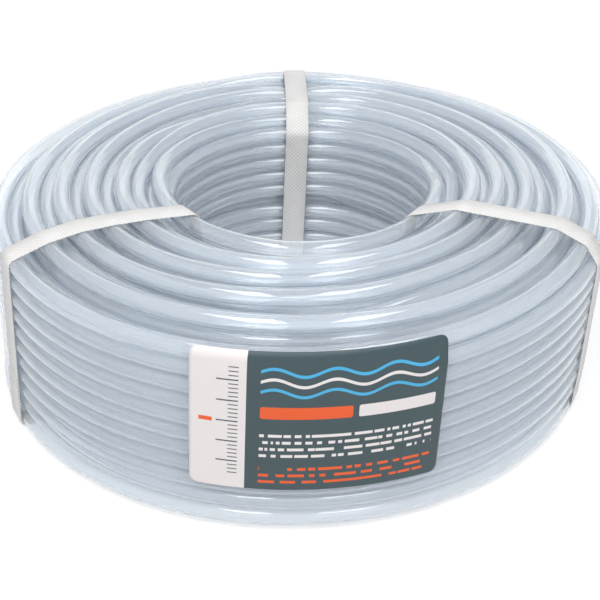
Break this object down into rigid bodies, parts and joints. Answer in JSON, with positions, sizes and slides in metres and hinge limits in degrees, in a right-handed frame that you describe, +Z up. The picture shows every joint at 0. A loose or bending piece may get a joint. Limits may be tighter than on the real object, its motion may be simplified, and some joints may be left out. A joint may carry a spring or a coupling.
{
  "type": "water level hose coil",
  "caption": "Strapped ring coil of clear plastic hose for a water level, with an open eye, flat woven straps round the ring and a label on the outer face.",
  "frame": {"origin": "on the floor under the middle of the coil's eye", "axes": "+Z up along the coil's axis; the label faces -Y; +X is to the right as one looks at the label"},
  "size_m": [0.36, 0.3614, 0.1224],
  "materials": {
    "hose": "clear, slightly milky blue-grey soft PVC, glossy",
    "strap": "white embossed strapping band, satin",
    "label": "printed paper label, satin, dark teal with a pale panel"
  },
  "bodies": {
    "root": {"inner_turns": "hose", "outer_turns": "hose", "outer_hose_end": "hose", "inner_hose_end": "hose", "back_strap": "strap", "left_strap": "strap", "right_strap": "strap", "label": "label"}
  },
  "joints": []
}
